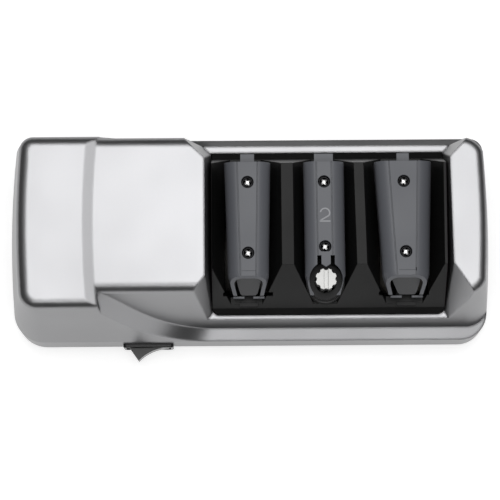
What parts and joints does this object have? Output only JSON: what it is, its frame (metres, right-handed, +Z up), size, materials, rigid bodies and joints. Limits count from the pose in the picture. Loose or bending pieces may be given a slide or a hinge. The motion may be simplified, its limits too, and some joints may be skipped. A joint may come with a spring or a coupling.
{
  "type": "electric knife sharpener",
  "caption": "Electric knife sharpener: a silver moulded body with a motor hump, spring-guided stages in a black insert, a fluted steel and a rocker switch",
  "frame": {"origin": "centre of the object's outline, rocker and inlet included, on the surface it stands on", "axes": "+X from the motor hump along the body to the low hump, -Y the front with the switch, +Z up"},
  "size_m": [0.254, 0.1192, 0.105],
  "materials": {
    "silver_shell": "satin metallic moulding",
    "black_insert": "fine moulded texture",
    "guide_grey": "satin",
    "black_base": "fine moulded texture",
    "switch_black": "polished",
    "bright_steel": "ground",
    "plated_screw": "dark zinc",
    "abrasive_disc": "fine diamond grit",
    "strop_disc": "flexible abrasive",
    "hub_plastic": "plain moulding",
    "lamination": "stacked sheets",
    "copper_wire": "enamelled wire",
    "zinc_casting": "as cast",
    "sintered_bronze": "sintered",
    "foot_rubber": "matt",
    "magnet": "ferrite",
    "tab_brass": "tinned"
  },
  "bodies": {
    "root": {"upper_housing": "silver_shell", "base_plate": "black_base", "stage_insert": "black_insert", "guide_1": "guide_grey", "guide_2": "guide_grey", "guide_3": "guide_grey", "guide_screws": "plated_screw", "steel_holder": "black_insert", "stator_stack": "lamination", "field_coil": "copper_wire", "left_bracket": "zinc_casting", "right_bracket": "zinc_casting", "shaft_bushes": "sintered_bronze", "motor_bolts": "plated_screw", "motor_pads": "foot_rubber", "bearing_block": "black_base", "outboard_bush": "sintered_bronze", "rubber_feet": "foot_rubber", "case_screws": "plated_screw", "dust_magnets": "magnet", "switch_body": "switch_black", "rocker_pin": "bright_steel", "switch_terminals": "tab_brass", "cord_grommet": "foot_rubber"},
    "rotor": {"drive_shaft": "bright_steel", "drive_pins": "bright_steel", "stop_rings": "plated_screw", "rotor_core": "lamination", "rotor_end_rings": "zinc_casting", "cooling_fan": "hub_plastic", "coarse_spring": "bright_steel", "strop_spring": "bright_steel"},
    "rocker": {"rocker": "switch_black"},
    "steel": {"steel_rod": "bright_steel"},
    "clean_out": {"clean_out_cover": "black_base"},
    "coarse_left": {"coarse_disc_left": "abrasive_disc", "coarse_hub_left": "hub_plastic"},
    "coarse_right": {"coarse_disc_right": "abrasive_disc", "coarse_hub_right": "hub_plastic"},
    "strop_left": {"strop_disc_left": "strop_disc", "strop_hub_left": "hub_plastic"},
    "strop_right": {"strop_disc_right": "strop_disc", "strop_hub_right": "hub_plastic"}
  },
  "joints": [
    {"name": "shaft_spin", "type": "hinge", "parent": "root", "child": "rotor", "pos_m": [0, -0.0088, 0.043], "axis": [1, 0, 0], "continuous": true},
    {"name": "rocker_tilt", "type": "hinge", "parent": "root", "child": "rocker", "pos_m": [-0.0547, -0.0493, 0.0148], "axis": [0, 0, 1], "range_deg": [-46.2, 0]},
    {"name": "steel_turn", "type": "hinge", "parent": "root", "child": "steel", "pos_m": [0.039, -0.0244, 0.06], "axis": [0, 0, 1], "continuous": true},
    {"name": "clean_out_slide", "type": "slide", "parent": "root", "child": "clean_out", "axis": [0, 1, 0], "range_m": [0, 0.036]},
    {"name": "coarse_left_slide", "type": "slide", "parent": "rotor", "child": "coarse_left", "axis": [1, 0, 0], "range_m": [0, 0.002], "stiffness_N_per_m": 1500, "springref_m": -0.001, "deforming": ["coarse_spring"]},
    {"name": "coarse_right_slide", "type": "slide", "parent": "rotor", "child": "coarse_right", "axis": [-1, 0, 0], "range_m": [0, 0.002], "stiffness_N_per_m": 1500, "springref_m": -0.001, "deforming": ["coarse_spring"]},
    {"name": "strop_left_slide", "type": "slide", "parent": "rotor", "child": "strop_left", "axis": [1, 0, 0], "range_m": [0, 0.002], "stiffness_N_per_m": 1500, "springref_m": -0.001, "deforming": ["strop_spring"]},
    {"name": "strop_right_slide", "type": "slide", "parent": "rotor", "child": "strop_right", "axis": [-1, 0, 0], "range_m": [0, 0.002], "stiffness_N_per_m": 1500, "springref_m": -0.001, "deforming": ["strop_spring"]}
  ]
}
